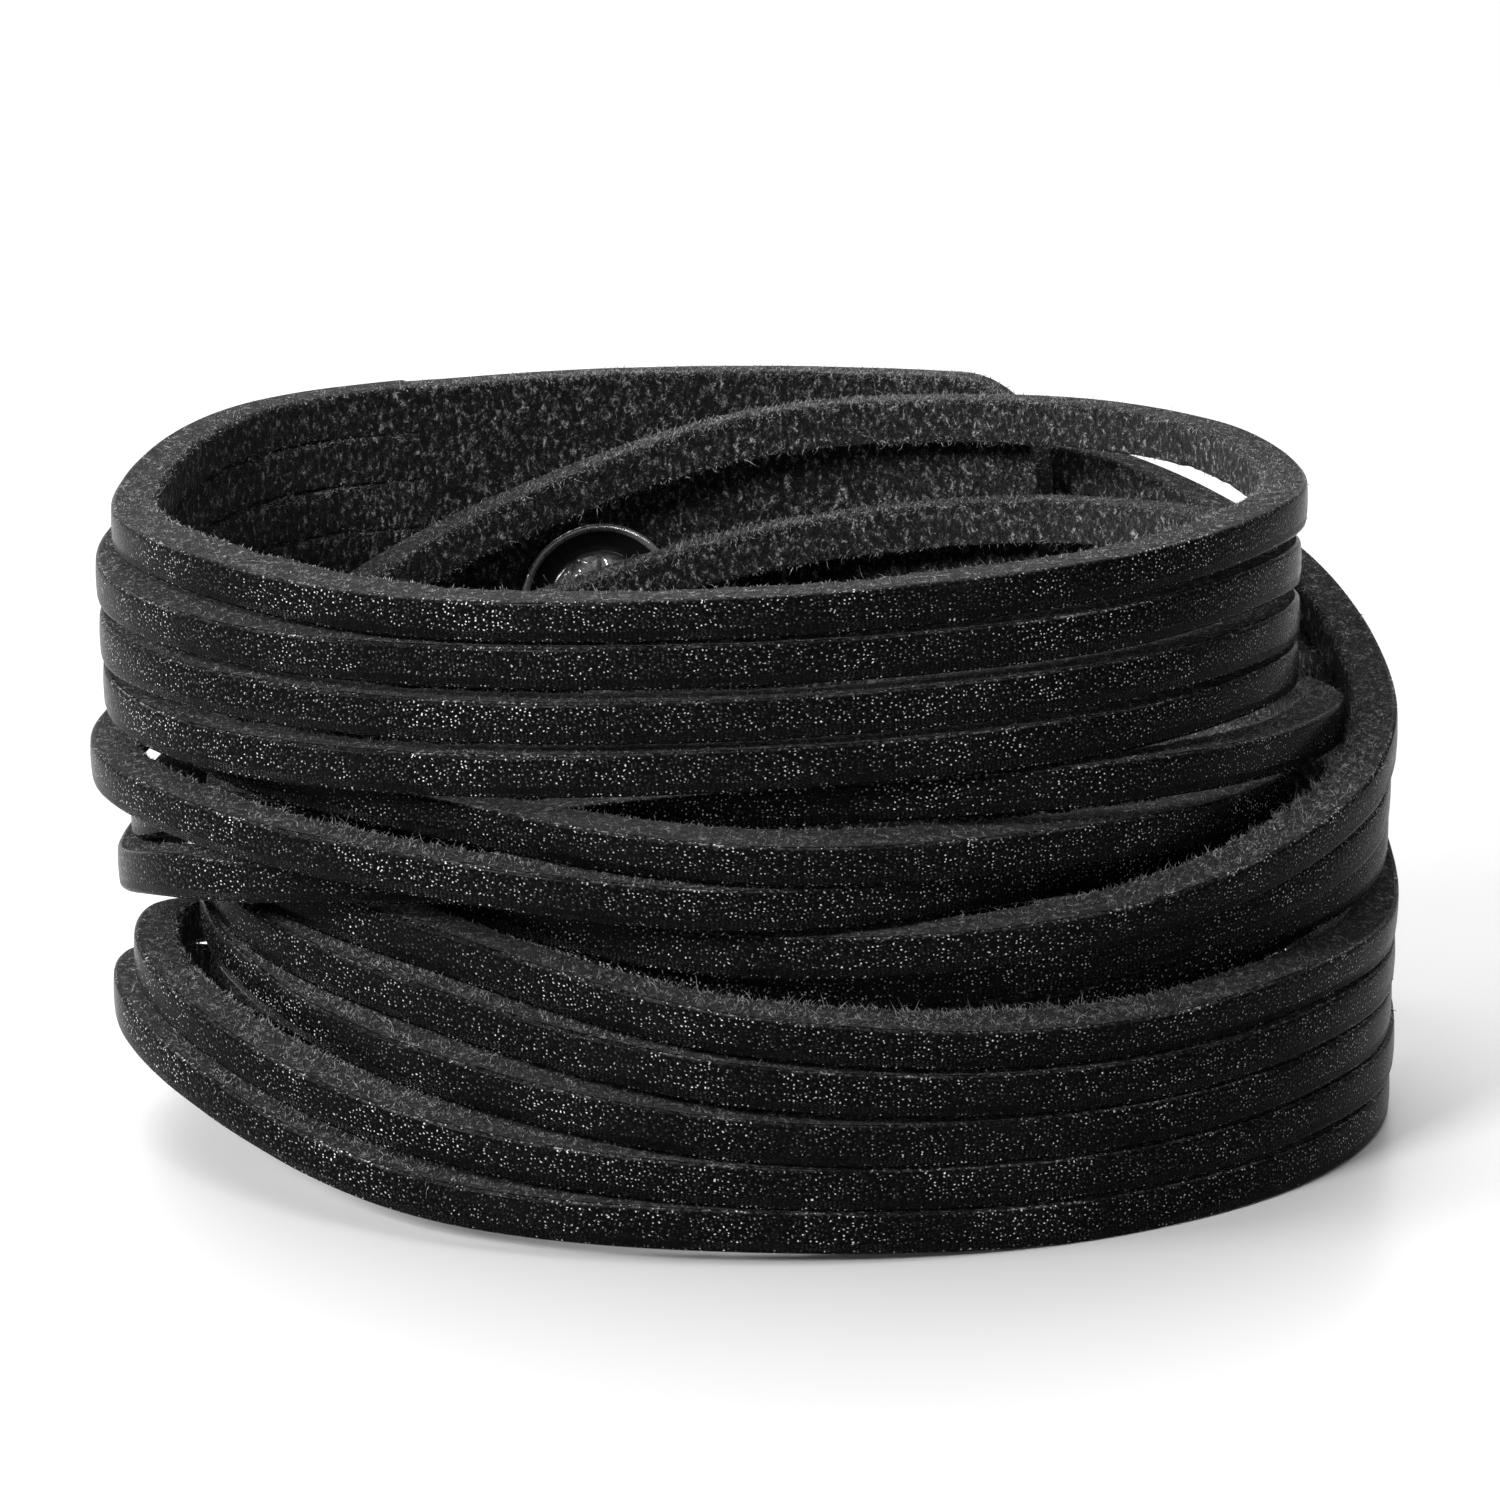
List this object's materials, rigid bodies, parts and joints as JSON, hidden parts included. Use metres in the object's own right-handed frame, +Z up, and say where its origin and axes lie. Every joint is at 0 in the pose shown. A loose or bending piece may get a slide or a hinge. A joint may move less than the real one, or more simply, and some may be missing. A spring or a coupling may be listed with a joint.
{
  "type": "multi-strand leather bracelet",
  "caption": "Leather wrap bracelet: a strap cut into parallel strands, wound twice round the wrist and closed at the back by a snap through its whole ends.",
  "frame": {"origin": "centre of the bounding box, on the ground that the bracelet rests on", "axes": "+X to the right of the front, +Y to the back where the snap is, +Z up along the wrist's axis"},
  "size_m": [0.0652, 0.055, 0.0333],
  "materials": {
    "leather": "satin grain outside, fuzzy dark grey on cut edges and inside",
    "snap": "gloss black"
  },
  "bodies": {
    "root": {"inner_tab": "leather", "outer_tab": "leather", "strand_1": "leather", "strand_2": "leather", "strand_3": "leather", "strand_4": "leather", "strand_5": "leather", "strand_6": "leather", "strand_7": "leather", "strand_8": "leather", "snap_cap": "snap", "snap_socket": "snap", "snap_stud": "snap", "snap_eyelet": "snap"}
  },
  "joints": []
}
